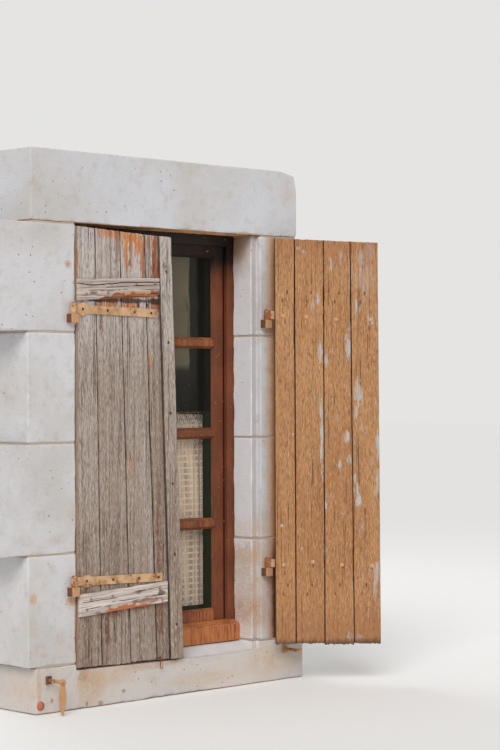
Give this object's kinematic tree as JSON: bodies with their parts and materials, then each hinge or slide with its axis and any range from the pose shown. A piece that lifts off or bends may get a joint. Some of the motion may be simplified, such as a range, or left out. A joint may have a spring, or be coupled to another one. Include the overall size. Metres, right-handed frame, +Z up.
{
  "type": "window shutters",
  "caption": "Ledged plank shutters on strap hinges and pintles, one leaf shut and one open, in a dressed-stone surround with a timber casement window.",
  "frame": {"origin": "on the sill's bed, in line with the middle of the opening and at the middle of the stone's depth", "axes": "+Z up, +X to the right seen from outside, +Y into the building"},
  "size_m": [1.6778, 0.5962, 2.027],
  "materials": {
    "limestone": "dressed, weathered",
    "lime_mortar": "rough",
    "weathered_wood": "bare, grey, with remains of paint",
    "ochre_painted_wood": "flaking matt paint",
    "window_paint": "worn gloss paint",
    "window_glass": "clear",
    "curtain_net": "net",
    "rod_brass": "dull",
    "strap_paint": "old paint over rust",
    "rusty_iron": "rusty",
    "fastener_iron": "painted, worn"
  },
  "bodies": {
    "surround": {"fastener_keepers": "fastener_iron", "left_jamb_stone_1": "limestone", "left_jamb_stone_2": "limestone", "left_jamb_stone_3": "limestone", "left_jamb_stone_4": "limestone", "lintel_stone": "limestone", "mortar": "lime_mortar", "pintles": "rusty_iron", "right_jamb_stone_1": "limestone", "right_jamb_stone_2": "limestone", "right_jamb_stone_3": "limestone", "right_jamb_stone_4": "limestone", "sill_irons": "rusty_iron", "sill_stone": "limestone", "window_head": "window_paint", "window_hinge_pins": "fastener_iron", "window_left_jamb": "window_paint", "window_right_jamb": "window_paint", "window_weather_rail": "window_paint"},
    "left_shutter": {"left_board_1": "weathered_wood", "left_board_2": "weathered_wood", "left_board_3": "weathered_wood", "left_board_4": "weathered_wood", "left_cover_strip": "weathered_wood", "left_lower_batten": "weathered_wood", "left_lower_strap": "strap_paint", "left_nails": "rusty_iron", "left_upper_batten": "weathered_wood", "left_upper_strap": "strap_paint"},
    "leaf_hook": {"left_hook": "rusty_iron"},
    "right_shutter": {"right_board_1": "ochre_painted_wood", "right_board_2": "ochre_painted_wood", "right_board_3": "ochre_painted_wood", "right_board_4": "ochre_painted_wood", "right_lower_batten": "ochre_painted_wood", "right_lower_strap": "strap_paint", "right_nails": "rusty_iron", "right_upper_batten": "ochre_painted_wood", "right_upper_strap": "strap_paint"},
    "holdback_tongue": {"holdback_tongue": "rusty_iron"},
    "left_sash": {"left_sash_curtain": "curtain_net", "left_sash_curtain_rod": "rod_brass", "left_sash_glazing_bars": "window_paint", "left_sash_hinge_stile": "window_paint", "left_sash_hinges": "fastener_iron", "left_sash_meeting_stile": "window_paint", "left_sash_panes": "window_glass", "left_sash_rails": "window_paint"},
    "right_sash": {"fastener_case": "fastener_iron", "right_sash_curtain": "curtain_net", "right_sash_curtain_rod": "rod_brass", "right_sash_glazing_bars": "window_paint", "right_sash_hinge_stile": "window_paint", "right_sash_hinges": "fastener_iron", "right_sash_meeting_stile": "window_paint", "right_sash_panes": "window_glass", "right_sash_rails": "window_paint"},
    "fastener_knob": {"fastener_knob": "fastener_iron"},
    "upper_bolt": {"upper_bolt": "fastener_iron"},
    "lower_bolt": {"lower_bolt": "fastener_iron"}
  },
  "joints": [
    {"name": "left_shutter_swing", "type": "hinge", "parent": "surround", "child": "left_shutter", "pos_m": [-0.494, -0.156, 0.9], "axis": [0, 0, -1], "range_deg": [0, 178]},
    {"name": "right_shutter_swing", "type": "hinge", "parent": "surround", "child": "right_shutter", "pos_m": [0.494, -0.156, 0.9], "axis": [0, 0, 1], "range_deg": [-143, 35]},
    {"name": "leaf_hook_swing", "type": "hinge", "parent": "left_shutter", "child": "leaf_hook", "pos_m": [-0.074, -0.152, 0.15131], "axis": [-1, 0, 0], "range_deg": [0, 100]},
    {"name": "holdback_tongue_turn", "type": "hinge", "parent": "surround", "child": "holdback_tongue", "pos_m": [-0.6026, -0.2193, 0.121], "axis": [0, 1, 0], "continuous": true},
    {"name": "left_sash_swing", "type": "hinge", "parent": "surround", "child": "left_sash", "pos_m": [-0.424, 0.0534, 0.98], "axis": [0, 0, 1], "range_deg": [0, 100]},
    {"name": "right_sash_swing", "type": "hinge", "parent": "surround", "child": "right_sash", "pos_m": [0.424, 0.0534, 0.98], "axis": [0, 0, -1], "range_deg": [0, 100]},
    {"name": "fastener_knob_turn", "type": "hinge", "parent": "right_sash", "child": "fastener_knob", "pos_m": [0.0305, 0.071, 0.886], "axis": [0, 1, 0], "range_deg": [0, 90]},
    {"name": "upper_bolt_slide", "type": "slide", "parent": "right_sash", "child": "upper_bolt", "axis": [0, 0, 1], "range_m": [0, 0.014]},
    {"name": "lower_bolt_slide", "type": "slide", "parent": "right_sash", "child": "lower_bolt", "axis": [0, 0, -1], "range_m": [0, 0.014]}
  ],
  "couplings": [
    {"joint": "lower_bolt_slide", "follows": "upper_bolt_slide", "ratio": 1},
    {"joint": "fastener_knob_turn", "follows": "upper_bolt_slide", "rad_per_m": 112}
  ]
}
